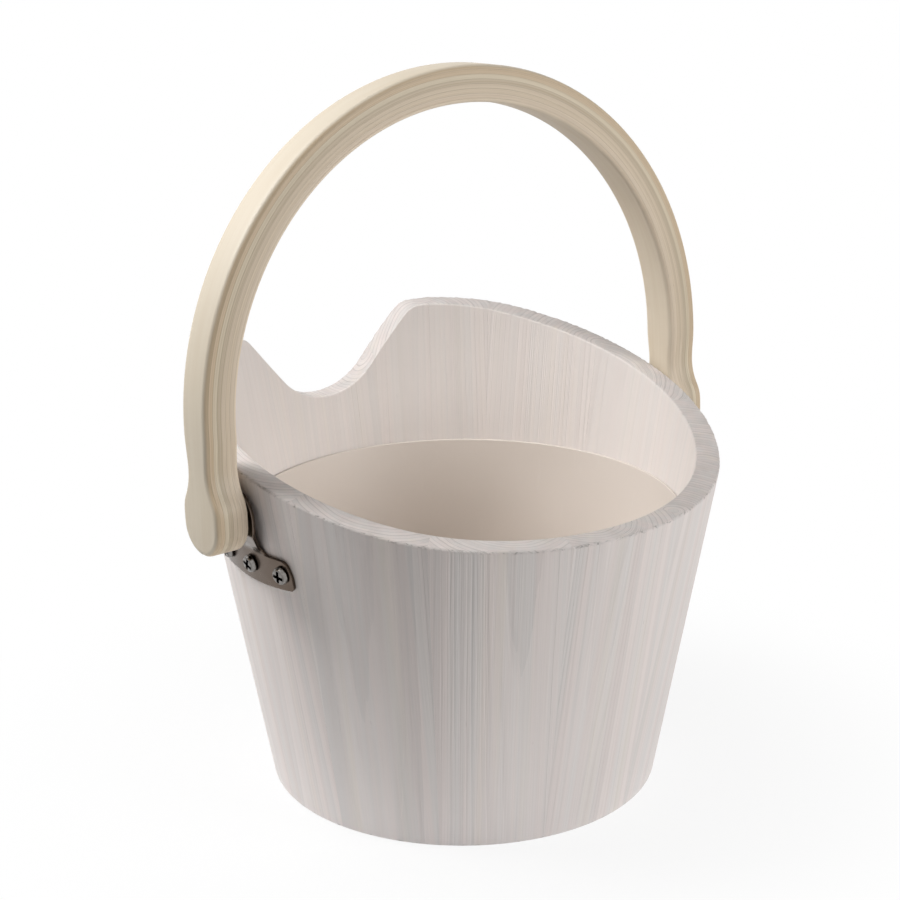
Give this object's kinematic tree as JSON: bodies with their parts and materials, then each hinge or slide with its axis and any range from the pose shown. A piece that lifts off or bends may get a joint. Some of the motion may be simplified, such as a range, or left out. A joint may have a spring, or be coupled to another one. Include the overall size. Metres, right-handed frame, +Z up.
{
  "type": "sauna bucket",
  "caption": "Tapered staved wooden sauna bucket with a sloping rim, a ladle notch, a drop-in plastic insert and a swinging bow handle of bent laminated wood on steel ears.",
  "frame": {"origin": "on the bucket's axis, on the surface it stands on", "axes": "+Z up along the bucket's axis, X along the handle's pivots, +Y towards the high side of the rim with the notch"},
  "size_m": [0.3096, 0.2603, 0.364],
  "materials": {
    "whitewashed_pine": "whitewashed, fine straight grain, satin",
    "laminated_birch": "bent laminated veneers, clear satin oil",
    "insert_plastic": "smooth beige moulded plastic",
    "stainless_sheet": "polished stainless sheet",
    "screw_steel": "bright plated pan-head screws"
  },
  "bodies": {
    "bucket": {"stave_01": "whitewashed_pine", "stave_02": "whitewashed_pine", "stave_03": "whitewashed_pine", "stave_04": "whitewashed_pine", "stave_05": "whitewashed_pine", "stave_06": "whitewashed_pine", "stave_07": "whitewashed_pine", "stave_08": "whitewashed_pine", "stave_09": "whitewashed_pine", "stave_10": "whitewashed_pine", "stave_11": "whitewashed_pine", "stave_12": "whitewashed_pine", "bottom_board": "whitewashed_pine", "bracket_left": "stainless_sheet", "bracket_right": "stainless_sheet", "bracket_screw_left_1": "screw_steel", "bracket_screw_left_2": "screw_steel", "bracket_screw_left_3": "screw_steel", "bracket_screw_right_1": "screw_steel", "bracket_screw_right_2": "screw_steel", "bracket_screw_right_3": "screw_steel"},
    "insert": {"insert": "insert_plastic"},
    "handle": {"handle_ply_1": "laminated_birch", "handle_ply_2": "laminated_birch", "handle_ply_3": "laminated_birch", "handle_ply_4": "laminated_birch", "handle_ply_5": "laminated_birch", "handle_ply_6": "laminated_birch", "handle_ply_7": "laminated_birch", "handle_ply_8": "laminated_birch", "pivot_screw_left": "screw_steel", "pivot_screw_right": "screw_steel", "pivot_washer_left": "stainless_sheet", "pivot_washer_right": "stainless_sheet"}
  },
  "joints": [
    {"name": "handle_swing", "type": "hinge", "parent": "bucket", "child": "handle", "pos_m": [0, 0, 0.1656], "axis": [1, 0, 0], "range_deg": [-135, 140]},
    {"name": "insert_lift", "type": "slide", "parent": "bucket", "child": "insert", "axis": [0, 0, 1], "range_m": [0, 0.135]}
  ]
}
